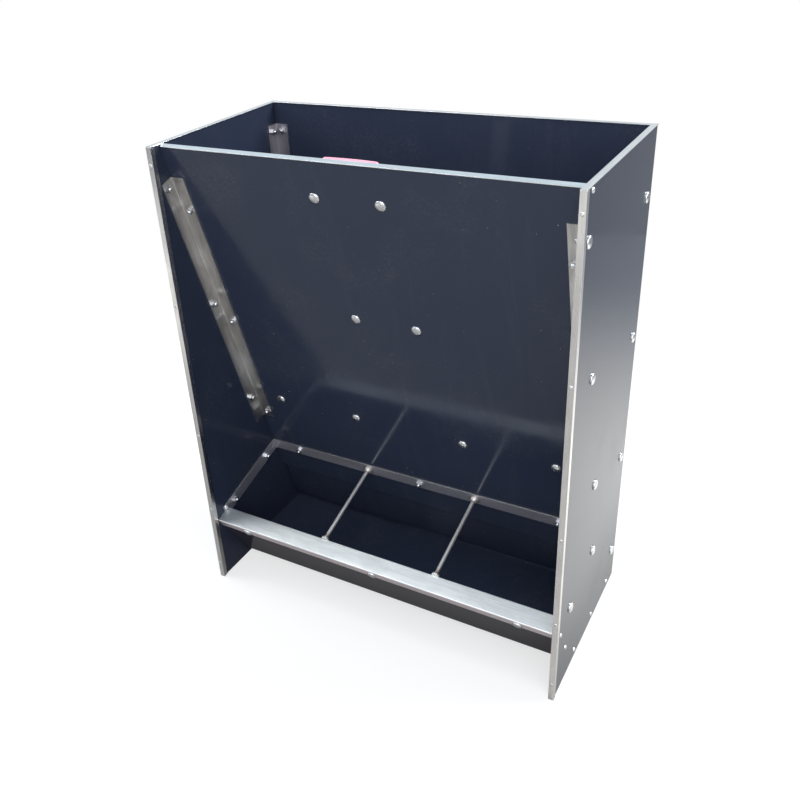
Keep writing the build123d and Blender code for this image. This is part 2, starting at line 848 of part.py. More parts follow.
hopper_side_seats = [
    (side_plane(side, width / 2), on_side(side, hopper_side_bolts)) for side in both_sides
]
hopper_side_nut_seats = [
    (inner_side_plane(side, inner_x - angle_sheet), on_inner_side(side, hopper_side_bolts))
    for side in both_sides
]
hopper_angle_side_bolts = place(dome_bolt(m8, board + angle_sheet), hopper_side_seats)
hopper_angle_side_nuts = place(hex_nut(m8), hopper_side_nut_seats)
hopper_angle_panel_bolts = place(
    sunk_bolt(sunk_m8, board + angle_sheet),
    [(slope_plane(board - sunk_margin), hopper_panel_bolts)],
)
hopper_angle_panel_nuts = place(
    hex_nut(m8),
    [(front_slope_plane(-angle_sheet), [(x, -s) for x, s in hopper_panel_bolts])],
)

back_side_seats = [
    (side_plane(side, width / 2), on_side(side, back_side_bolts(side))) for side in both_sides
]
back_side_nut_seats = [
    (inner_side_plane(side, inner_x - angle_sheet), on_inner_side(side, back_side_bolts(side)))
    for side in both_sides
]
back_rear_plane = Plane(origin=(0, back_face_y, 0), x_dir=(-1, 0, 0), z_dir=(0, 1, 0))
back_nut_plane = Plane.XZ.offset(-(back_inner_y - angle_sheet))
back_rear_points = [point for side in both_sides for point in back_rear_bolts(side)]
back_angle_side_bolts = place(dome_bolt(m8, board + angle_sheet), back_side_seats)
back_angle_side_nuts = place(hex_nut(m8), back_side_nut_seats)
back_angle_rear_bolts = place(
    dome_bolt(m8, board + angle_sheet),
    [(back_rear_plane, [(-x, z) for x, z in back_rear_points])],
)
back_angle_rear_nuts = place(hex_nut(m8), [(back_nut_plane, back_rear_points)])

guard_side_seats = [
    (side_plane(side, width / 2), on_side(side, guard_side_bolts)) for side in both_sides
]
guard_nut_seats = [
    (inner_side_plane(side, inner_x - guard_sheet), on_inner_side(side, guard_side_bolts))
    for side in both_sides
]
guard_end_seats = [
    (inner_side_plane(side, inner_x - guard_sheet), on_inner_side(side, [guard_end_point]))
    for side in both_sides
]
guard_side_bolts_group = place(dome_bolt(m8, board + guard_sheet), guard_side_seats)
guard_side_nuts = place(hex_nut(m8), guard_nut_seats)
guard_end_screws = place(headed_screw(guard_screw), guard_end_seats)
guard_rear_bolts_group = place(
    sunk_bolt(sunk_m8, board + guard_sheet),
    [(slope_plane(board - sunk_margin), guard_rear_bolts)],
)
guard_rear_nuts = place(
    hex_nut(m8),
    [(front_slope_plane(-guard_sheet), [(x, -s) for x, s in guard_rear_bolts])],
)

lip_bolts_group = place(
    dome_bolt(m8, lip_sheet + board),
    [(trough_plane(-lip_sheet), [(x, -a) for x, a in lip_bolts])],
)
lip_nuts = place(hex_nut(m8), [(trough_back_plane(board), lip_bolts)])

board_edge_screws = place(
    headed_screw(edge_screw),
    [(side_plane(side, width / 2), on_side(side, edge_screws)) for side in both_sides],
)

# Labels and files
pieces = {
    "left_side_panel": left_side_panel,
    "right_side_panel": right_side_panel,
    "back_panel": back_panel,
    "hopper_front_panel": hopper_front_panel,
    "trough_floor": trough_floor,
    "trough_front_board": trough_front_board,
    "trough_lip": trough_lip,
    "guard_bar": guard_bar,
    "left_divider_rod": left_divider_rod,
    "right_divider_rod": right_divider_rod,
    "left_front_trim": left_front_trim,
    "right_front_trim": right_front_trim,
    "trim_rivets": trim_rivets,
    "left_top_strip": left_top_strip,
    "right_top_strip": right_top_strip,
    "back_top_strip": back_top_strip,
    "front_top_strip": front_top_strip,
    "left_hopper_angle": left_hopper_angle,
    "right_hopper_angle": right_hopper_angle,
    "left_back_angle": left_back_angle,
    "right_back_angle": right_back_angle,
    "upper_guide_packing": upper_guide_packing,
    "lower_guide_packing": lower_guide_packing,
    "upper_guide_strap": upper_guide_strap,
    "lower_guide_strap": lower_guide_strap,
    "guide_strap_bolts": guide_strap_bolts,
    "guide_strap_nuts": guide_strap_nuts,
    "lock_nut": lock_nut,
    "lock_screw": lock_screw,
    "feed_gate": feed_gate,
    "pull_bar": pull_bar,
    "adjuster_grip": adjuster_grip,
    "grip_pins": grip_pins,
    "gate_bar_bolts": gate_bar_bolts,
    "gate_bar_nuts": gate_bar_nuts,
    "gate_guide_bolts": gate_guide_bolts,
    "gate_guide_nuts": gate_guide_nuts,
    "gate_guide_washers": gate_guide_washers,
    "hopper_angle_side_bolts": hopper_angle_side_bolts,
    "hopper_angle_side_nuts": hopper_angle_side_nuts,
    "hopper_angle_panel_bolts": hopper_angle_panel_bolts,
    "hopper_angle_panel_nuts": hopper_angle_panel_nuts,
    "back_angle_side_bolts": back_angle_side_bolts,
    "back_angle_side_nuts": back_angle_side_nuts,
    "back_angle_rear_bolts": back_angle_rear_bolts,
    "back_angle_rear_nuts": back_angle_rear_nuts,
    "guard_side_bolts": guard_side_bolts_group,
    "guard_side_nuts": guard_side_nuts,
    "guard_end_screws": guard_end_screws,
    "guard_rear_bolts": guard_rear_bolts_group,
    "guard_rear_nuts": guard_rear_nuts,
    "lip_bolts": lip_bolts_group,
    "lip_nuts": lip_nuts,
    "board_edge_screws": board_edge_screws,
}
for name, builder in pieces.items():
    save(name, builder)
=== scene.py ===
import bpy
import bmesh
from math import cos, pi, radians, sin, tan
from mathutils import Matrix, Vector, noise


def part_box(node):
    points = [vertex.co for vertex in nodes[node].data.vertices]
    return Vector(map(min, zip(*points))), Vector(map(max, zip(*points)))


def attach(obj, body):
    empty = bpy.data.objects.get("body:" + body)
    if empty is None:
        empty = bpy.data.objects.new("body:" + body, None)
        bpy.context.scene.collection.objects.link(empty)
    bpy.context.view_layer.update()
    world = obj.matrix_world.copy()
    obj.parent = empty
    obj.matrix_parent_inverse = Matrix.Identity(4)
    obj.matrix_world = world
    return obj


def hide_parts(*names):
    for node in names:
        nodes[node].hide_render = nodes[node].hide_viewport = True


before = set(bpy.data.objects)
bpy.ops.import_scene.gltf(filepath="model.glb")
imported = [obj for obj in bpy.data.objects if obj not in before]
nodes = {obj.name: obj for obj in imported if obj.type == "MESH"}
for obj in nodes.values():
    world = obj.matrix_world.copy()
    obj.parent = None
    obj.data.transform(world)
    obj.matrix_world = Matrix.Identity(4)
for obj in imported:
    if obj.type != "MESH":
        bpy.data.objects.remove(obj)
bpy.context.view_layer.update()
scene = bpy.context.scene
scene.view_settings.view_transform = "Standard"
print("frame loaded:", len(nodes), "nodes")

# directions of the sloped hopper panel and of the leaning trough board
lean = {"hopper": radians(16.25), "trough": radians(30.2)}
downSlope = Vector((0, sin(lean["hopper"]), -cos(lean["hopper"])))
inward = Vector((0, cos(lean["hopper"]), sin(lean["hopper"])))
troughInward = Vector((0, cos(lean["trough"]), sin(lean["trough"])))
alongX = Vector((1, 0, 0))
alongY = Vector((0, 1, 0))
alongZ = Vector((0, 0, 1))


# material helpers
def newMaterial(name):
    material = bpy.data.materials.new(name)
    material.use_nodes = True
    tree = material.node_tree
    return material, tree, tree.nodes["Principled BSDF"]


def addNode(tree, kind, values=None, **settings):
    node = tree.nodes.new(kind)
    for key, value in settings.items():
        setattr(node, key, value)
    for key, value in (values or {}).items():
        node.inputs[key].default_value = value
    return node


def objectVector(tree):
    return addNode(tree, "ShaderNodeTexCoord").outputs["Object"]


# parts of a vector, by letter
def splitVector(tree, vector):
    node = addNode(tree, "ShaderNodeSeparateXYZ")
    tree.links.new(vector, node.inputs["Vector"])
    return node.outputs


# texture mapping turns first and stretches after, so grain follows any direction
def mapped(tree, vector, stretch, turn):
    values = {"Rotation": turn, "Scale": stretch}
    node = addNode(tree, "ShaderNodeMapping", values, vector_type="TEXTURE")
    tree.links.new(vector, node.inputs["Vector"])
    return node.outputs["Vector"]


def noiseOf(tree, vector, scale=1.0, detail=3.0, roughness=0.5, distortion=0.0):
    values = {"Scale": scale, "Detail": detail, "Roughness": roughness, "Distortion": distortion}
    node = addNode(tree, "ShaderNodeTexNoise", values)
    tree.links.new(vector, node.inputs["Vector"])
    return node.outputs["Fac"]


# a smooth step over a span of values
def ranged(tree, value, span, result=(0.0, 1.0)):
    values = {"From Min": span[0], "From Max": span[1], "To Min": result[0], "To Max": result[1]}
    node = addNode(tree, "ShaderNodeMapRange", values, interpolation_type="SMOOTHSTEP")
    tree.links.new(value, node.inputs["Value"])
    return node.outputs["Result"]


def mathOf(tree, operation, first, second):
    node = addNode(tree, "ShaderNodeMath", operation=operation)
    for socket, value in zip(node.inputs, (first, second)):
        if isinstance(value, (int, float)):
            socket.default_value = value
        else:
            tree.links.new(value, socket)
    return node.outputs["Value"]


def blendColor(tree, share, first, second):
    node = addNode(tree, "ShaderNodeMix", data_type="RGBA")
    sockets = [s for s in node.inputs if s.type == "RGBA"]
    for socket, value in zip(sockets, (first, second)):
        if isinstance(value, tuple):
            socket.default_value = (*value, 1)
        else:
            tree.links.new(value, socket)
    tree.links.new(share, node.inputs["Factor"])
    return [s for s in node.outputs if s.type == "RGBA"][0]


def blendShader(tree, share, first, second):
    node = addNode(tree, "ShaderNodeMixShader")
    for socket, output in zip(node.inputs, (share, first, second)):
        tree.links.new(output, socket)
    return node.outputs[0]


def addBump(tree, shader, height, strength, distance, below=None):
    node = addNode(tree, "ShaderNodeBump", {"Strength": strength, "Distance": distance})
    tree.links.new(height, node.inputs["Height"])
    if below:
        tree.links.new(below, node.inputs["Normal"])
    tree.links.new(node.outputs["Normal"], shader.inputs["Normal"])
    return node.outputs["Normal"]


def turnTo(direction):
    return direction.to_track_quat("X", "Z").to_euler()


# glossy black board with faint rubs, dust and a slow waviness
boardLook = {
    "color": (0.0255, 0.0330, 0.0600),
    "dusty": (0.050, 0.055, 0.074),
    "speck": (0.34, 0.34, 0.35),
    "ior": 1.4,
    "smooth": 0.07,
    "rubbed": 0.19,
    "scratchRough": 0.06,  # roughness that a scratch or haze adds
    "hazeRough": 0.05,
    "cloudNoise": dict(scale=6.0, detail=5.0, roughness=0.6, distortion=0.4),
    "speckleNoise": dict(scale=160.0, detail=3.0, roughness=0.7),
    "speckNoise": dict(scale=330.0, detail=0.0),
    "scratchNoise": dict(detail=4.0, roughness=0.7),
    "scratchStretch": (0.35, 0.004, 0.004),
    "wipeNoise": dict(detail=5.0, roughness=0.65, distortion=0.6),
    "wipeStretch": (0.30, 0.035, 0.035),
    "waveNoise": dict(scale=5.0, detail=1.0),
    "grainNoise": dict(scale=700.0, detail=2.0),
    "rubSpan": (0.3, 0.8),  # noise values over which each mark fades in
    "scratchSpan": (0.66, 0.72),
    "speckSpan": (0.885, 0.92),
    "dustSpan": (0.45, 0.8),
    "dustGrain": dict(span=(0.4, 0.75), result=(0.1, 1.0)),
    "hazeSpan": (0.48, 0.78),
    "hazeMost": 0.45,
    "hazeGrain": dict(span=(0.35, 0.7), result=(0.3, 1.0)),
    "waveBump": dict(strength=0.25, distance=0.0006),
    "grainBump": dict(strength=0.04, distance=0.0001),
}
# the marks run along the given way
boardKinds = {
    "blackBoard": dict(along=downSlope),
    # lighter, bluer board for the inner faces: partly feed dust, partly painted sky light
    "dustAndSkylightBoard": dict(along=alongZ, color=(0.032, 0.041, 0.072), dusty=(0.066, 0.074, 0.102)),
    "sideBoard": dict(along=alongZ, color=(0.0250, 0.0295, 0.0465), dusty=(0.048, 0.050, 0.060)),
    "warmBoard": dict(along=alongX, color=(0.0300, 0.0255, 0.0360), dusty=(0.058, 0.052, 0.062)),
}


def makeBoard(name, look):
    material, tree, shader = newMaterial(name)
    place = objectVector(tree)
    turn = turnTo(look["along"])
    cloud = noiseOf(tree, place, **look["cloudNoise"])
    speckle = noiseOf(tree, place, **look["speckleNoise"])
    streak = noiseOf(tree, mapped(tree, place, look["scratchStretch"], turn), **look["scratchNoise"])
    wipe = noiseOf(tree, mapped(tree, place, look["wipeStretch"], turn), **look["wipeNoise"])
    scratch = ranged(tree, streak, look["scratchSpan"])
    haze = ranged(tree, wipe, look["hazeSpan"], (0.0, look["hazeMost"]))
    haze = mathOf(tree, "MULTIPLY", haze, ranged(tree, speckle, **look["hazeGrain"]))
    dust = ranged(tree, cloud, look["dustSpan"])
    dust = mathOf(tree, "MULTIPLY", dust, ranged(tree, speckle, **look["dustGrain"]))
    color = blendColor(tree, mathOf(tree, "MAXIMUM", dust, haze), look["color"], look["dusty"])
    speck = ranged(tree, noiseOf(tree, place, **look["speckNoise"]), look["speckSpan"])
    tree.links.new(blendColor(tree, speck, color, look["speck"]), shader.inputs["Base Color"])
    rough = ranged(tree, cloud, look["rubSpan"], (look["smooth"], look["rubbed"]))
    for mark, added in ((scratch, look["scratchRough"]), (haze, look["hazeRough"])):
        rough = mathOf(tree, "ADD", rough, mathOf(tree, "MULTIPLY", mark, added))
    tree.links.new(rough, shader.inputs["Roughness"])
    shader.inputs["IOR"].default_value = look["ior"]
    slow = addBump(tree, shader, noiseOf(tree, place, **look["waveNoise"]), **look["waveBump"])
    addBump(tree, shader, noiseOf(tree, place, **look["grainNoise"]), **look["grainBump"], below=slow)
    return material


# brown and straw rings that welding leaves at both ends of a divider rod
heat = {"inset": 0.004, "drop": 0.009, "inner": 0.004, "outer": 0.018, "tint": (0.45, 0.37, 0.31)}
rodLow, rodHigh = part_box("right_divider_rod")
rodX = (rodLow.x + rodHigh.x) / 2
weldSpots = [
    (rodX, rodHigh.y - heat["inset"], rodHigh.z - heat["drop"]),
    (rodX, rodLow.y + heat["inset"], rodLow.z + heat["drop"]),
]


# X is taken without its sign, so the spots of one rod serve for both
def addHeatTint(tree, place, color):
    parts = splitVector(tree, place)
    join = addNode(tree, "ShaderNodeCombineXYZ")
    tree.links.new(mathOf(tree, "ABSOLUTE", parts["X"], 0.0), join.inputs["X"])
    tree.links.new(parts["Y"], join.inputs["Y"])
    tree.links.new(parts["Z"], join.inputs["Z"])
    for spot in weldSpots:
        gap = addNode(tree, "ShaderNodeVectorMath", operation="DISTANCE")
        tree.links.new(join.outputs["Vector"], gap.inputs[0])
        gap.inputs[1].default_value = spot
        near = ranged(tree, gap.outputs["Value"], (heat["inner"], heat["outer"]), (1.0, 0.0))
        color = blendColor(tree, near, color, heat["tint"])
    return color


# stainless sheet, brushed along one direction, with smears
steelLook = {
    "bright": (0.78, 0.775, 0.77),
    "dull": (0.62, 0.615, 0.61),
    "smooth": 0.18,
    "rough": 0.32,
    "heated": False,
    "brushNoise": dict(detail=3.0, roughness=0.6),
    "brushStretch": (0.12, 0.0006, 0.0006),
    "brushShare": 0.5,  # the smears have the rest
    "smearNoise": dict(detail=4.0, roughness=0.55, distortion=0.8),
    "smearStretch": (0.09, 0.03, 0.03),
    "toneSpan": (0.35, 0.62),
    "glossSpan": (0.3, 0.7),
    "smearBump": dict(strength=0.15, distance=0.0004),
    "brushBump": dict(strength=0.12, distance=0.0001),
}
# tones and gloss of the steel pieces
trim = dict(bright=(0.80, 0.775, 0.76), dull=(0.65, 0.63, 0.615), smooth=0.18, rough=0.30)
lipTop = dict(bright=(0.82, 0.84, 0.84), dull=(0.62, 0.64, 0.64), smooth=0.42, rough=0.58)
# pinkish copy of the lip steel for the down-facing flange: painted reflection of the ground in front
flangeReflection = dict(bright=(0.92, 0.83, 0.85), dull=(0.78, 0.70, 0.72), smooth=0.44, rough=0.58)
corner = dict(bright=(0.70, 0.68, 0.67), dull=(0.44, 0.425, 0.415), smooth=0.26, rough=0.42)
backCorner = dict(bright=(0.64, 0.61, 0.65), dull=(0.46, 0.44, 0.47), smooth=0.38, rough=0.54)
mill = dict(bright=(0.76, 0.755, 0.75), dull=(0.58, 0.575, 0.57), smooth=0.42, rough=0.58)
guardFace = dict(bright=(0.84, 0.82, 0.88), dull=(0.64, 0.62, 0.67), smooth=0.42, rough=0.58)
# dark copy of the guard steel for the bar's upper edge: painted shade
guardTopShade = dict(bright=(0.30, 0.285, 0.29), dull=(0.20, 0.19, 0.195), smooth=0.42, rough=0.58)
rodFace = dict(bright=(0.92, 0.89, 0.87), dull=(0.72, 0.68, 0.65), smooth=0.44, rough=0.60)
# each is brushed along the given way
steelKinds = {
    "trimSteel": dict(trim, along=alongZ),
    "stripSteel": dict(along=alongX),
    "sideStripSteel": dict(along=alongY),
    "lipSteel": dict(lipTop, along=alongX),
    "flangeReflectionSteel": dict(flangeReflection, along=alongX),
    "cornerSteel": dict(corner, along=downSlope),
    "barSteel": dict(mill, along=downSlope),
    "strapSteel": dict(mill, along=alongX),
    "backCornerSteel": dict(backCorner, along=alongZ),
    "guardSteel": dict(guardFace, along=alongX, heated=True),
    "guardTopShadeSteel": dict(guardTopShade, along=alongX),
    "rodSteel": dict(rodFace, along=inward, heated=True),
}


def makeSteel(name, look):
    material, tree, shader = newMaterial(name)
    place = objectVector(tree)
    turn = turnTo(look["along"])
    brush = noiseOf(tree, mapped(tree, place, look["brushStretch"], turn), **look["brushNoise"])
    smear = noiseOf(tree, mapped(tree, place, look["smearStretch"], turn), **look["smearNoise"])
    brushed = mathOf(tree, "MULTIPLY", brush, look["brushShare"])
    smeared = mathOf(tree, "MULTIPLY", smear, 1 - look["brushShare"])
    shade = mathOf(tree, "ADD", brushed, smeared)
    color = blendColor(tree, ranged(tree, shade, look["toneSpan"]), look["dull"], look["bright"])
    if look["heated"]:
        color = addHeatTint(tree, place, color)
    tree.links.new(color, shader.inputs["Base Color"])
    shader.inputs["Metallic"].default_value = 1.0
    rough = ranged(tree, shade, look["glossSpan"], (look["rough"], look["smooth"]))
    tree.links.new(rough, shader.inputs["Roughness"])
    slow = addBump(tree, shader, smear, **look["smearBump"])
    addBump(tree, shader, brush, **look["brushBump"], below=slow)
    return material


# bright heads, nuts, rivets and weld beads with light marks
fastenerLook = {
    "bright": (0.82, 0.82, 0.825),
    "dull": (0.62, 0.62, 0.63),
    "smooth": 0.17,
    "rough": 0.34,
    "markNoise": dict(scale=420.0, detail=4.0, roughness=0.6),
    "toneSpan": (0.35, 0.65),
    "glossSpan": (0.3, 0.7),
    "markBump": dict(strength=0.08, distance=0.0002),
}
fastenerKinds = {
    "weldBead": dict(bright=(0.96, 0.95, 0.93), dull=(0.66, 0.60, 0.54), smooth=0.46, rough=0.64),
    "brightZinc": dict(),
    "rivetMetal": dict(bright=(0.82, 0.81, 0.80), dull=(0.62, 0.61, 0.60), smooth=0.25, rough=0.42),
}


def makeFastener(name, look):
    material, tree, shader = newMaterial(name)
    marks = noiseOf(tree, objectVector(tree), **look["markNoise"])
    color = blendColor(tree, ranged(tree, marks, look["toneSpan"]), look["dull"], look["bright"])
    tree.links.new(color, shader.inputs["Base Color"])
    shader.inputs["Metallic"].default_value = 1.0
    rough = ranged(tree, marks, look["glossSpan"], (look["rough"], look["smooth"]))
    tree.links.new(rough, shader.inputs["Roughness"])
    addBump(tree, shader, marks, **look["markBump"])
    return material


# moulded red plastic of the grip, paler where it faces up: a painted highlight
gripLook = {
    "color": (0.58, 0.050, 0.080),
    "worn": (0.64, 0.095, 0.13),
    "paintedHighlight": (0.78, 0.32, 0.42),
    "smooth": 0.17,
    "rough": 0.30,
    "ior": 1.6,
    "patchNoise": dict(scale=60.0, detail=4.0),
    "wornSpan": (0.4, 0.7),
    "glossSpan": (0.3, 0.7),
    "highlightSpan": (0.25, 0.95),  # upward part of the normal
    "pebbleNoise": dict(scale=1800.0, detail=2.0),
    "pebbleBump": dict(strength=0.1, distance=0.0001),
}


def makeGrip(name, look):
    material, tree, shader = newMaterial(name)
    place = objectVector(tree)
    patch = noiseOf(tree, place, **look["patchNoise"])
    color = blendColor(tree, ranged(tree, patch, look["wornSpan"]), look["color"], look["worn"])
    normal = addNode(tree, "ShaderNodeNewGeometry").outputs["Normal"]
    upward = ranged(tree, splitVector(tree, normal)["Z"], look["highlightSpan"])
    # faces that look up blend to the pale colour: painted highlight
    tree.links.new(blendColor(tree, upward, color, look["paintedHighlight"]), shader.inputs["Base Color"])
    rough = ranged(tree, patch, look["glossSpan"], (look["smooth"], look["rough"]))
    tree.links.new(rough, shader.inputs["Roughness"])
    shader.inputs["IOR"].default_value = look["ior"]
    addBump(tree, shader, noiseOf(tree, place, **look["pebbleNoise"]), **look["pebbleBump"])
    return material


finishes = {}
for name, own in boardKinds.items():
    finishes[name] = makeBoard(name, dict(boardLook, **own))
for name, own in steelKinds.items():
    finishes[name] = makeSteel(name, dict(steelLook, **own))
for name, own in fastenerKinds.items():
    finishes[name] = makeFastener(name, dict(fastenerLook, **own))
finishes["redGrip"] = makeGrip("redGrip", gripLook)
print("materials made:", len(finishes))

mergeGap = 1e-6  # points closer than this become one
flatAngle = radians(0.3)  # faces flatter than this become one


# a finished piece: smooth faces with sharp edges kept, riding on its body in place of its node
def finishPiece(bm, nodeName, finishNames, body="feeder_frame", sharp=38):
    name = "visual_" + nodeName
    mesh = bpy.data.meshes.new(name)
    bm.to_mesh(mesh)
    bm.free()
    for finishName in finishNames:
        mesh.materials.append(finishes[finishName])
    for face in mesh.polygons:
        face.use_smooth = True
    mesh.set_sharp_from_angle(angle=radians(sharp))
    piece = bpy.data.objects.new(name, mesh)
    scene.collection.objects.link(piece)
    even = piece.modifiers.new("evenNormals", "WEIGHTED_NORMAL")
    even.keep_sharp = True
    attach(piece, body)
    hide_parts(nodeName)


def mergedCopy(nodeName):
    bm = bmesh.new()
    bm.from_mesh(nodes[nodeName].data)
    bmesh.ops.remove_doubles(bm, verts=bm.verts, dist=mergeGap)
    return bm


# a copy of a CAD node as clean faces
def cleanCopy(nodeName):
    bm = mergedCopy(nodeName)
    bmesh.ops.dissolve_limit(bm, angle_limit=flatAngle, verts=bm.verts, edges=bm.edges)
    for face in bm.faces:
        face.material_index = 0
    return bm


def creases(bm, shortest, angle):
    return [
        e for e in bm.edges
        if len(e.link_faces) == 2 and e.calc_length() > shortest and e.calc_face_angle() > radians(angle)
    ]


def roundEdges(bm, edges, radius, segments):
    bmesh.ops.bevel(
        bm, geom=edges, offset=radius, offset_type="OFFSET", segments=segments,
        profile=0.5, affect="EDGES", material=-1, clamp_overlap=True,
    )


# a clean copy with its creases made round, but for those that are shorter or flatter
def roundedCopy(nodeName, radius, segments, shortest, angle=35):
    bm = cleanCopy(nodeName)
    roundEdges(bm, creases(bm, shortest, angle), radius, segments)
    return bm


# second finish on the faces that look the given way
def finishFacing(bm, direction, least):
    for face in bm.faces:
        face.material_index = 1 if face.normal.dot(direction) > least else 0


# boards, their sawn edges slightly broken
boards = {
    "left_side_panel": "feeder_frame",
    "right_side_panel": "feeder_frame",
    "back_panel": "feeder_frame",
    "hopper_front_panel": "feeder_frame",
    "trough_floor": "feeder_frame",
    "trough_front_board": "feeder_frame",
    "upper_guide_packing": "feeder_frame",
    "lower_guide_packing": "feeder_frame",
    "feed_gate": "gate_with_bar",
}
# boards whose face to one side has a finish of its own
boardFaces = {
    "left_side_panel": ("sideBoard", -alongX),
    "right_side_panel": ("sideBoard", alongX),
    # the back panel's inner face and the trough floor's top take the lighter, bluer board: partly dust,
    # partly painted sky light
    "back_panel": ("dustAndSkylightBoard", -alongY),
    "trough_floor": ("dustAndSkylightBoard", alongZ),
    "trough_front_board": ("warmBoard", -troughInward),
}
boardEdge = {"radius": 0.0007, "segments": 3, "shortest": 0.007}
boardFacing = 0.9
for nodeName, body in boards.items():
    bm = roundedCopy(nodeName, **boardEdge)
    finishNames = ["blackBoard"]
    if nodeName in boardFaces:
        second, direction = boardFaces[nodeName]
        finishNames.append(second)
        finishFacing(bm, direction, boardFacing)
    finishPiece(bm, nodeName, finishNames, body)
print("boards made:", len(boards))

# sheet steel pieces with deburred edges, each with its finish and edge radius
sheets = {
    "left_front_trim": ("trimSteel", 0.0004),
    "right_front_trim": ("trimSteel", 0.0004),
    "left_top_strip": ("sideStripSteel", 0.0003),
    "right_top_strip": ("sideStripSteel", 0.0003),
    "back_top_strip": ("stripSteel", 0.0003),
    "front_top_strip": ("stripSteel", 0.0003),
    "left_hopper_angle": ("cornerSteel", 0.0005),
    "right_hopper_angle": ("cornerSteel", 0.0005),
    "left_back_angle": ("backCornerSteel", 0.0005),
    "right_back_angle": ("backCornerSteel", 0.0005),
    "upper_guide_strap": ("strapSteel", 0.0006),
    "lower_guide_strap": ("strapSteel", 0.0006),
}
sheetEdge = {"segments": 2, "shortest": 0.004}
for nodeName, (finishName, radius) in sheets.items():
    bm = roundedCopy(nodeName, radius, **sheetEdge)
    finishPiece(bm, nodeName, [finishName])
print("sheet pieces made:", len(sheets))

# trough lip: rounder bends along its outside, and a front flange with a pinkish copy of the steel, a
# painted reflection of the ground in front
lip = {
    "bend": 0.0024,
    "segments": 4,
    "shortest": 0.5,  # only edges that run along the trough
    "crease": 20,
    "smallest": 0.004,  # area of a face beside a bend, which leaves out the sheet's thin rims
    "merge": 1e-7,
    "flange": 0.5,
}
bm = cleanCopy("trough_lip")
bends = [
    e for e in creases(bm, lip["shortest"], lip["crease"])
    if e.is_convex and min(f.calc_area() for f in e.link_faces) > lip["smallest"]
]
roundEdges(bm, bends, lip["bend"], lip["segments"])
bmesh.ops.remove_doubles(bm, verts=bm.verts, dist=lip["merge"])
finishFacing(bm, -troughInward, lip["flange"])
finishPiece(bm, "trough_lip", ["lipSteel", "flangeReflectionSteel"])

# guard bar: rims of the flat bar broken all round, bends included
guard = {
    "rim": 0.0006,
    "segments": 2,
    "facing": 0.999,  # the bar's edges look up and down the slope
    "rimArea": 2e-4,
    "crease": 60,
    "edge": 0.5,
}


def isGuardEdge(face):
    return abs(face.normal.dot(downSlope)) > guard["facing"] and face.calc_area() > guard["rimArea"]


bm = cleanCopy("guard_bar")
rims = [
    e for e in bm.edges
    if e.calc_face_angle(0) > radians(guard["crease"]) and any(isGuardEdge(f) for f in e.link_faces)
]
roundEdges(bm, rims, guard["rim"], guard["segments"])
# the faces looking up the slope take the dark copy: painted shade on the bar's upper edge
finishFacing(bm, -downSlope, guard["edge"])
finishPiece(bm, "guard_bar", ["guardSteel", "guardTopShadeSteel"])

# pull bar of the feed gate
pullBar = {"radius": 0.0006}
bm = roundedCopy("pull_bar", **pullBar, **sheetEdge)
finishPiece(bm, "pull_bar", ["barSteel"], "gate_with_bar")
print("lip, guard bar and pull bar made")


# a profile of radii and heights turned about Z
def turned(points, steps):
    bm = bmesh.new()
    verts = [bm.verts.new((r, 0, z)) for r, z in points]
    edges = [bm.edges.new(pair) for pair in zip(verts, verts[1:])]
    bmesh.ops.spin(
        bm, geom=verts + edges, cent=(0, 0, 0), axis=(0, 0, 1), dvec=(0, 0, 0),
        angle=2 * pi, steps=steps, use_merge=True, use_normal_flip=False, use_duplicate=False,
    )
    bmesh.ops.remove_doubles(bm, verts=bm.verts, dist=mergeGap)
    bmesh.ops.recalc_face_normals(bm, faces=bm.faces)
    return bm


# rings about Z bridged one to the next, with a radius and a height for every angle;
# a capped stack is closed at both ends, any other goes back to its first ring
def stacked(rings, segments, capped):
    bm = bmesh.new()
    loops = []
    for i, (radiusAt, heightAt) in enumerate(rings):
        cap = capped and i in (0, len(rings) - 1)
        made = bmesh.ops.create_circle(bm, cap_ends=cap, radius=1.0, segments=segments)["verts"]
        for vert in made:
            angle = Vector((0, 1)).angle_signed(vert.co.xy, 0.0)
            radius = radiusAt(angle)
            vert.co = (radius * vert.co.x, radius * vert.co.y, heightAt(angle))
        loops.append([e for e in bm.edges if e.verts[0] in made and e.verts[1] in made])
    following = loops[1:] if capped else loops[1:] + loops[:1]
    for first, second in zip(loops, following):
        bmesh.ops.bridge_loops(bm, edges=first + second)
    bmesh.ops.recalc_face_normals(bm, faces=bm.faces)
    return bm


# the separate solids of a node, each as its points
def solidsOf(nodeName):
    bm = mergedCopy(nodeName)
    bm.verts.ensure_lookup_table()
    seen = set()
    groups = []
    for start in bm.verts:
        if start.index in seen:
            continue
        seen.add(start.index)
        stack = [start]
        group = []
        while stack:
            vert = stack.pop()
            group.append(vert.co.copy())
            for edge in vert.link_edges:
                other = edge.other_vert(vert)
                if other.index not in seen:
                    seen.add(other.index)
                    stack.append(other)
        groups.append(group)
    bm.free()
    return groups


def middle(values):
    return (min(values) + max(values)) / 2


# matrix that stands a shape made along +Z on a solid, at its top end or its foot
def seatOn(group, axis, atTop, spin=0.0):
    turn = axis.to_track_quat("Z", "Y").to_matrix()
    side, other = turn.col[0], turn.col[1]
    heights = [p.dot(axis) for p in group]
    level = max(heights) if atTop else min(heights)
    spot = side * middle([p.dot(side) for p in group])
    spot += other * middle([p.dot(other) for p in group]) + axis * level
    return Matrix.Translation(spot) @ turn.to_4x4() @ Matrix.Rotation(spin, 4, "Z")


def reachOf(group, axis):
    heights = [p.dot(axis) for p in group]
    return max(heights) - min(heights)


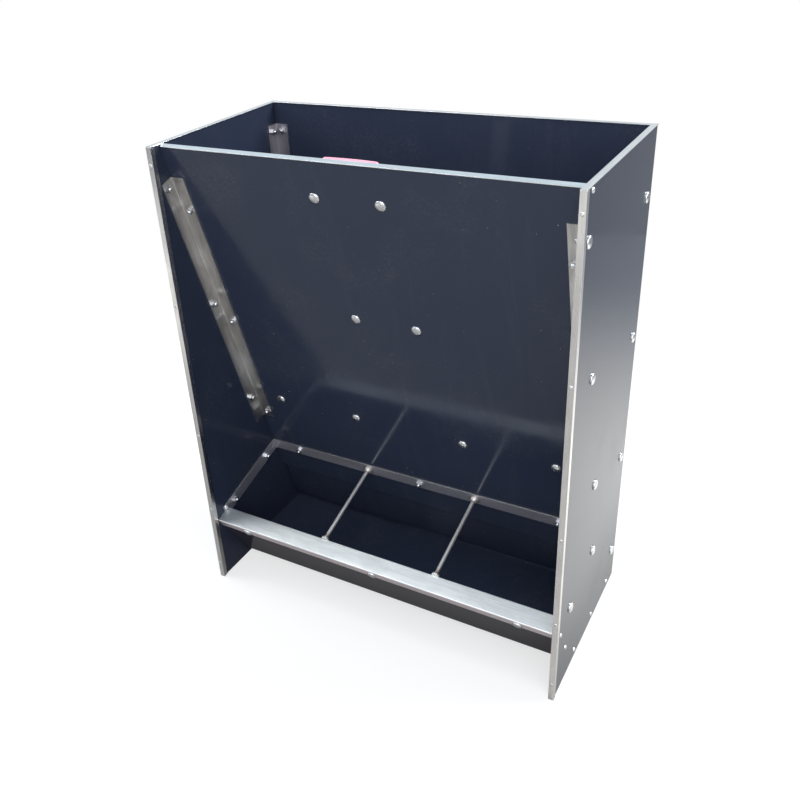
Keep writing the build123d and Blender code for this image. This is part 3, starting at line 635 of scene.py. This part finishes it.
def copiesOf(shape, seats):
    mesh = bpy.data.meshes.new("shape")
    shape.to_mesh(mesh)
    shape.free()
    bm = bmesh.new()
    for seat in seats:
        count = len(bm.verts)
        bm.from_mesh(mesh)
        bm.verts.ensure_lookup_table()
        bmesh.ops.transform(bm, matrix=seat, verts=bm.verts[count:])
    bpy.data.meshes.remove(mesh)
    return bm


def outwardX(group):
    return alongX * (1 if sum(p.x for p in group) > 0 else -1)


def inwardX(group):
    return -outwardX(group)


# the same answer for every solid or angle
def fixed(value):
    return lambda given: value


# one shape on every solid of a fastener group, made for the length of the first,
# each copy turned on by the given turn from the one before
def placeAll(
    nodeName, axisOf, shapeFor, atTop=True, turn=0.0, finishName="brightZinc", body="feeder_frame",
):
    groups = solidsOf(nodeName)
    length = reachOf(groups[0], axisOf(groups[0]))
    seats = [seatOn(g, axisOf(g), atTop, turn * i) for i, g in enumerate(groups)]
    bm = copiesOf(shapeFor(length), seats)
    finishPiece(bm, nodeName, [finishName], body)


# one bolt size for the whole feeder
bolt = {
    "head": 0.0103,
    "rise": 0.0046,
    "rim": 0.0012,
    "edge": 0.0003,
    "shank": 0.004,
    "sunkHead": 0.008,
    "dish": 0.0001,
    "dishShare": 0.4,  # of the sunk head's radius
    "domeSteps": 7,
    "turnSteps": 36,
}
# thread of the bolts' tails, in shares of the shank's radius, the pitch and the length
thread = {
    "pitch": 0.00125,
    "plain": 0.45,
    "root": 0.88,
    "runOut": 1.5,
    "shoulder": 0.98,
    "tip": 0.78,
    "tipLength": 0.8,
}


# shank that ends in a rolled thread with a chamfered tip, as radii and heights going down
def threadedTail(length):
    radius = bolt["shank"]
    pitch = thread["pitch"]
    start = -length * thread["plain"]
    end = -length
    points = [(radius, start)]
    level = start - pitch
    while level > end + thread["runOut"] * pitch:
        points += [(radius * thread["root"], level), (radius, level - pitch / 2)]
        level -= pitch
    points += [(radius * thread["shoulder"], end + thread["tipLength"] * pitch)]
    return points + [(radius * thread["tip"], end), (0, end)]


def domeBolt(length):
    points = [(0, 0)]
    for i in range(1, bolt["domeSteps"] + 1):
        angle = pi / 2 * (1 - i / bolt["domeSteps"])
        points.append((bolt["head"] * cos(angle), (bolt["rise"] - bolt["rim"]) * (sin(angle) - 1)))
    points += [(bolt["head"], bolt["edge"] - bolt["rise"]), (bolt["head"] - bolt["edge"], -bolt["rise"])]
    points += [(bolt["shank"], -bolt["rise"])]
    return turned(points + threadedTail(length), bolt["turnSteps"])


# flush head with a shallow dish
def sunkBolt(length):
    head = bolt["sunkHead"]
    points = [(0, -bolt["dish"]), (head * bolt["dishShare"], -bolt["dish"]), (head - bolt["edge"], 0)]
    points += [(head, -bolt["edge"]), (bolt["shank"], bolt["shank"] - head)]
    return turned(points + threadedTail(length), bolt["turnSteps"])


domeBolts = {
    "guide_strap_bolts": fixed(-inward),
    "gate_guide_bolts": fixed(-inward),
    "hopper_angle_side_bolts": outwardX,
    "back_angle_side_bolts": outwardX,
    "back_angle_rear_bolts": fixed(alongY),
    "guard_side_bolts": outwardX,
    "lip_bolts": fixed(-troughInward),
}
for nodeName, axisOf in domeBolts.items():
    placeAll(nodeName, axisOf, domeBolt)
sunkBolts = {
    "hopper_angle_panel_bolts": (inward, "feeder_frame"),
    "guard_rear_bolts": (inward, "feeder_frame"),
    "gate_bar_bolts": (-inward, "gate_with_bar"),
}
for nodeName, (axis, body) in sunkBolts.items():
    placeAll(nodeName, fixed(axis), sunkBolt, body=body)
print("bolts made:", len(domeBolts) + len(sunkBolts), "groups")

# hexagon nuts
nut = {
    "flats": 0.013,
    "bore": 0.00405,
    "boreChamfer": 0.0006,
    "chamferShare": 0.96,  # of the hexagon's inner radius
    "chamferAngle": radians(30),
    "segments": 48,
    "turn": radians(37),
}


# nut with turned chamfers and a countersunk bore, standing on the origin
def hexNut(height):
    inner = nut["flats"] / 2
    chamfer = inner * nut["chamferShare"]
    bore = nut["bore"]
    depth = nut["boreChamfer"]

    def hexRadius(angle):
        return inner / cos((angle + pi / 6) % (pi / 3) - pi / 6)

    def faceRadius(angle):
        return min(chamfer, hexRadius(angle))

    def drop(angle):
        return max(0.0, hexRadius(angle) - chamfer) * tan(nut["chamferAngle"])

    rings = [
        (fixed(bore), fixed(depth)),
        (fixed(bore + depth), fixed(0.0)),
        (faceRadius, fixed(0.0)),
        (hexRadius, drop),
        (hexRadius, lambda angle: height - drop(angle)),
        (faceRadius, fixed(height)),
        (fixed(bore + depth), fixed(height)),
        (fixed(bore), fixed(height - depth)),
    ]
    return stacked(rings, nut["segments"], False)


nuts = {
    "guide_strap_nuts": (fixed(inward), "feeder_frame"),
    "gate_guide_nuts": (fixed(inward), "feeder_frame"),
    "gate_bar_nuts": (fixed(inward), "gate_with_bar"),
    "hopper_angle_side_nuts": (inwardX, "feeder_frame"),
    "hopper_angle_panel_nuts": (fixed(-inward), "feeder_frame"),
    "back_angle_side_nuts": (inwardX, "feeder_frame"),
    "back_angle_rear_nuts": (fixed(-alongY), "feeder_frame"),
    "guard_side_nuts": (inwardX, "feeder_frame"),
    "guard_rear_nuts": (fixed(-inward), "feeder_frame"),
    "lip_nuts": (fixed(troughInward), "feeder_frame"),
    "lock_nut": (fixed(inward), "feeder_frame"),
}
for nodeName, (axisOf, body) in nuts.items():
    placeAll(nodeName, axisOf, hexNut, atTop=False, turn=nut["turn"], body=body)
print("nuts made:", len(nuts), "groups")

# pan-headed screws with a cross recess; shares are of the head's radius and rise
screws = {
    "board_edge_screws": dict(axis=outwardX, head=0.0045, rise=0.0024, shank=0.002),
    "guard_end_screws": dict(axis=inwardX, head=0.0055, rise=0.0032, shank=0.00225),
}
screwShape = {
    "dome": ((1.0, 0.25), (0.93, 0.55), (0.80, 0.80), (0.64, 0.95)),
    "arm": 0.52,
    "armHalf": 0.13,
    "footArm": 0.55,  # the recess narrows to its foot
    "footWidth": 0.75,
    "footLevel": 0.35,
    "point": 0.25,  # of the shank's radius
    "pointLength": 2.5,
    "segments": 48,
    "turn": radians(53),
}


# screw with its top at the origin; the recess outline is four arms
def crossScrew(screw, length):
    head, rise, shank = screw["head"], screw["rise"], screw["shank"]
    arm = head * screwShape["arm"]
    armHalf = head * screwShape["armHalf"]
    leastSine = 1e-3

    def cross(angle, share=1.0):
        off = (angle + pi / 4) % (pi / 2) - pi / 4
        return min(arm * share, armHalf / max(abs(sin(off)), leastSine))

    def foot(angle):
        return cross(angle, screwShape["footArm"]) * screwShape["footWidth"]

    levels = [
        (fixed(shank * screwShape["point"]), rise - length),
        (fixed(shank), rise - length + screwShape["pointLength"] * shank),
        (fixed(shank), 0.0),
        (fixed(head), 0.0),
    ]
    levels += [(fixed(head * across), rise * up) for across, up in screwShape["dome"]]
    levels += [(cross, rise), (foot, rise * screwShape["footLevel"])]
    rings = [(radiusAt, fixed(level - rise)) for radiusAt, level in levels]
    return stacked(rings, screwShape["segments"], True)


for nodeName, screw in screws.items():
    placeAll(nodeName, screw["axis"], lambda length: crossScrew(screw, length), turn=screwShape["turn"])

# blind rivets with the hole that the pulled pin leaves
rivet = {
    "head": 0.0035,
    "rise": 0.001,
    "crown": [(0.0018, -0.00005), (0.0027, -0.0003), (0.0033, -0.00065)],
    "edge": 0.0001,
    "hole": 0.0009,
    "mouth": 0.0002,
    "holeDepth": 0.002,
    "holePoint": 0.0002,
    "shank": 0.0015,
    "steps": 24,
}


def blindRivet(length):
    head, rise, hole, shank = rivet["head"], rivet["rise"], rivet["hole"], rivet["shank"]
    points = [(0, -rivet["holeDepth"] - rivet["holePoint"]), (hole, -rivet["holeDepth"])]
    points += [(hole, -rivet["edge"]), (hole + rivet["mouth"], 0), *rivet["crown"]]
    points += [(head, rivet["edge"] - rise), (head, -rise), (shank, -rise), (shank, -length), (0, -length)]
    return turned(points, rivet["steps"])


placeAll("trim_rivets", fixed(-alongY), blindRivet, finishName="rivetMetal")

# washers behind the feed gate
washer = {"outer": 0.012, "inner": 0.00405, "edge": 0.0003, "steps": 40}


def flatWasher(height):
    outer, inner, edge = washer["outer"], washer["inner"], washer["edge"]
    points = [(inner, 0), (outer - edge, 0), (outer, edge), (outer, height - edge)]
    points += [(outer - edge, height), (inner, height), (inner, 0)]
    return turned(points, washer["steps"])


placeAll("gate_guide_washers", fixed(inward), flatWasher, atTop=False)
print("screws, rivets and washers made")

# divider rods with a lumpy weld bead at each end
rod = {
    "radius": 0.004,
    "core": 1e-4,  # points nearer to the axis stay there
    "weld": 0.0082,
    "widest": 0.0090,
    "weldLength": 0.0066,
    "rings": 9,
    "lump": 0.0012,
    "lumpScale": 420.0,
    "steps": 48,
    "sharp": 70,
}
for nodeName in ("left_divider_rod", "right_divider_rod"):
    group = solidsOf(nodeName)[0]
    length = reachOf(group, inward)
    points = [(0, 0)]
    for i in range(rod["rings"] + 1):
        share = i / rod["rings"]
        bead = (rod["weld"] - rod["radius"]) * (1 - share ** 2) ** 0.5
        points.append((rod["radius"] + bead, share * rod["weldLength"]))
    points += [(r, length - z) for r, z in reversed(points[1:])]
    points += [(0, length)]
    bm = turned(points, rod["steps"])
    seat = seatOn(group, inward, False)
    for vert in bm.verts:
        fromEnd = min(vert.co.z, length - vert.co.z)
        radius = vert.co.xy.length
        if radius > rod["core"] and fromEnd < rod["weldLength"]:
            fade = 1 - fromEnd / rod["weldLength"]
            lump = noise.noise((seat @ vert.co) * rod["lumpScale"]) * rod["lump"] * fade ** 0.5
            vert.co.xy *= min(1 + lump / radius, rod["widest"] / radius)
    for face in bm.faces:
        level = face.calc_center_median().z
        face.material_index = 1 if min(level, length - level) < rod["weldLength"] else 0
    bmesh.ops.transform(bm, matrix=seat, verts=bm.verts)
    finishPiece(bm, nodeName, ["rodSteel", "weldBead"], sharp=rod["sharp"])
print("divider rods made")

# wing screw that locks the pull bar
lockEdge = {"radius": 0.0005, "segments": 2, "shortest": 0.0004, "angle": 60}
finishPiece(roundedCopy("lock_screw", **lockEdge), "lock_screw", ["brightZinc"], "lock")

# moulded grip of the pull bar and its pins
gripEdge = {"radius": 0.0008, "segments": 3, "shortest": 0.004, "angle": 60}
bm = roundedCopy("adjuster_grip", **gripEdge)
finishPiece(bm, "adjuster_grip", ["redGrip"], "gate_with_bar")
finishPiece(cleanCopy("grip_pins"), "grip_pins", ["brightZinc"], "gate_with_bar")
print("lock screw and grip made")

# camera, fitted to the photograph's view
view = {
    "eye": (0.73226, -1.35681, 1.36897),
    "turn": (61.25678, 3.38437, 29.88567),
    "lens": 39.346,
    "sensor": 36,
    "shift": (0.05, -0.03),
    "nearest": 0.05,
}
lens = bpy.data.cameras.new("viewLens")
lens.sensor_width = view["sensor"]
lens.lens = view["lens"]
lens.shift_x, lens.shift_y = view["shift"]
lens.clip_start = view["nearest"]
camera = bpy.data.objects.new("viewCamera", lens)
camera.location = view["eye"]
camera.rotation_euler = [radians(a) for a in view["turn"]]
scene.collection.objects.link(camera)
scene.camera = camera

# round pale floor that fades into the white background
floorLook = {
    "middle": (-0.3, -0.8, -0.0002),
    "radius": 3.4,
    "segments": 96,
    # near: darker floor close to the feeder, painted shade of the ground there
    "near": (0.37, 0.362, 0.350),
    "open": (0.82, 0.795, 0.755),
    "behind": (0.23, 0.24, 0.26),
    "shown": (0.95, 0.95, 0.95),  # to the camera, where the shadow falls
    "shadow": 0.34,
    "fadeSpan": (1.6, 2.4),  # distances from the middle
    "openSpan": (1.6, 2.3),
    "besideSpan": (0.48, 0.95),  # along Y
    "frontSpan": (-0.15, -0.45),
    "behindSpan": (1.15, 2.75),
    "rightSpan": (0.62, 0.80),  # along X
    "leftSpan": (-0.55, -0.95),
}
bm = bmesh.new()
bmesh.ops.create_circle(bm, cap_ends=True, radius=floorLook["radius"], segments=floorLook["segments"])
mesh = bpy.data.meshes.new("floor")
bm.to_mesh(mesh)
bm.free()
floor = bpy.data.objects.new("floor", mesh)
floor.location = floorLook["middle"]
scene.collection.objects.link(floor)
material = bpy.data.materials.new("paleFloor")
material.use_nodes = True
tree = material.node_tree
tree.nodes.clear()
place = objectVector(tree)
parts = splitVector(tree, place)
length = addNode(tree, "ShaderNodeVectorMath", operation="LENGTH")
tree.links.new(place, length.inputs[0])
distance = length.outputs["Value"]
# the near tone, painted shade of the ground round the feeder, gives way to the open tone far out and in two
# patches that the sides and the trims mirror
away = ranged(tree, distance, floorLook["openSpan"])
for alongSpan, acrossSpan in (("besideSpan", "rightSpan"), ("frontSpan", "leftSpan")):
    reach = ranged(tree, parts["Y"], floorLook[alongSpan])
    width = ranged(tree, parts["X"], floorLook[acrossSpan])
    away = mathOf(tree, "MAXIMUM", away, mathOf(tree, "MULTIPLY", reach, width))
tone = blendColor(tree, away, floorLook["near"], floorLook["open"])
tone = blendColor(tree, ranged(tree, parts["Y"], floorLook["behindSpan"]), tone, floorLook["behind"])
matte = addNode(tree, "ShaderNodeBsdfDiffuse")
tree.links.new(tone, matte.inputs["Color"])
white = addNode(tree, "ShaderNodeEmission", {"Color": (1, 1, 1, 1), "Strength": 1.0})
bright = addNode(tree, "ShaderNodeBsdfDiffuse", {"Color": (*floorLook["shown"], 1)})
ray = addNode(tree, "ShaderNodeLightPath")
share = ranged(tree, distance, floorLook["fadeSpan"], (floorLook["shadow"], 0.0))
seen = blendShader(tree, share, white.outputs[0], bright.outputs[0])
surface = addNode(tree, "ShaderNodeOutputMaterial")
either = blendShader(tree, ray.outputs["Is Camera Ray"], matte.outputs[0], seen)
tree.links.new(either, surface.inputs["Surface"])
mesh.materials.append(material)

# studio world: white to the camera, a soft sky for reflections and for light
sky = {
    "low": (0.28, 0.30, 0.33),
    "lowAt": 0.49,  # heights from 0, straight down, to 1, straight up
    "rim": (0.50, 0.52, 0.55),
    "rimAt": 0.545,
    "bright": (0.78, 0.81, 0.84),
    "brightAt": 0.62,
    "high": (0.68, 0.82, 0.93),
    "highAt": 0.86,
    "light": 0.52,
    "mirror": 1.1,
}
world = bpy.data.worlds.new("studio")
scene.world = world
world.use_nodes = True
tree = world.node_tree
tree.nodes.clear()
direction = addNode(tree, "ShaderNodeTexCoord").outputs["Generated"]
ramp = addNode(tree, "ShaderNodeValToRGB")
for element, part in zip(ramp.color_ramp.elements, ("low", "high")):
    element.position = sky[part + "At"]
    element.color = (*sky[part], 1)
for part in ("rim", "bright"):
    ramp.color_ramp.elements.new(sky[part + "At"]).color = (*sky[part], 1)
height = ranged(tree, splitVector(tree, direction)["Z"], (-1.0, 1.0))
tree.links.new(height, ramp.inputs["Fac"])
lightSky = addNode(tree, "ShaderNodeBackground", {"Strength": sky["light"]})
mirrorSky = addNode(tree, "ShaderNodeBackground", {"Strength": sky["mirror"]})
tree.links.new(ramp.outputs["Color"], lightSky.inputs["Color"])
tree.links.new(ramp.outputs["Color"], mirrorSky.inputs["Color"])
plain = addNode(tree, "ShaderNodeBackground", {"Color": (1, 1, 1, 1), "Strength": 1.0})
ray = addNode(tree, "ShaderNodeLightPath")
lit = blendShader(tree, ray.outputs["Is Glossy Ray"], lightSky.outputs[0], mirrorSky.outputs[0])
clear = mathOf(tree, "MAXIMUM", ray.outputs["Is Camera Ray"], ray.outputs["Is Transmission Ray"])
surface = addNode(tree, "ShaderNodeOutputWorld")
tree.links.new(blendShader(tree, clear, lit, plain.outputs[0]), surface.inputs["Surface"])

# soft lamps
lamps = {
    "keyLamp": dict(place=(2.0, 1.6, 3.0), aim=(0.5, 0.4, 0.2), size=2.2, power=150),
    "frontLamp": dict(place=(1.3, -1.9, 3.3), aim=(-0.1, -0.2, 0.2), size=1.8, power=30),
    "topLamp": dict(place=(-1.4, -0.35, 3.5), aim=(0, -0.2, 0.3), size=1.2, power=36),
    "lowLamp": dict(place=(0.5, -3.4, 1.5), aim=(0, -0.1, 0.6), size=2.4, power=38),
    "rightLamp": dict(place=(2.4, -1.7, 1.7), aim=(-0.2, -0.1, 0.25), size=1.8, power=10),
    "leftLamp": dict(place=(-2.6, -0.6, 2.4), aim=(0, 0, 0.4), size=2.0, power=36),
}
for name, lamp in lamps.items():
    light = bpy.data.lights.new(name, "AREA")
    light.shape = "DISK"
    light.size = lamp["size"]
    light.energy = lamp["power"]
    holder = bpy.data.objects.new(name, light)
    holder.location = lamp["place"]
    holder.rotation_euler = (Vector(lamp["place"]) - Vector(lamp["aim"])).to_track_quat("Z", "Y").to_euler()
    scene.collection.objects.link(holder)
print("camera, floor, world and lamps made")
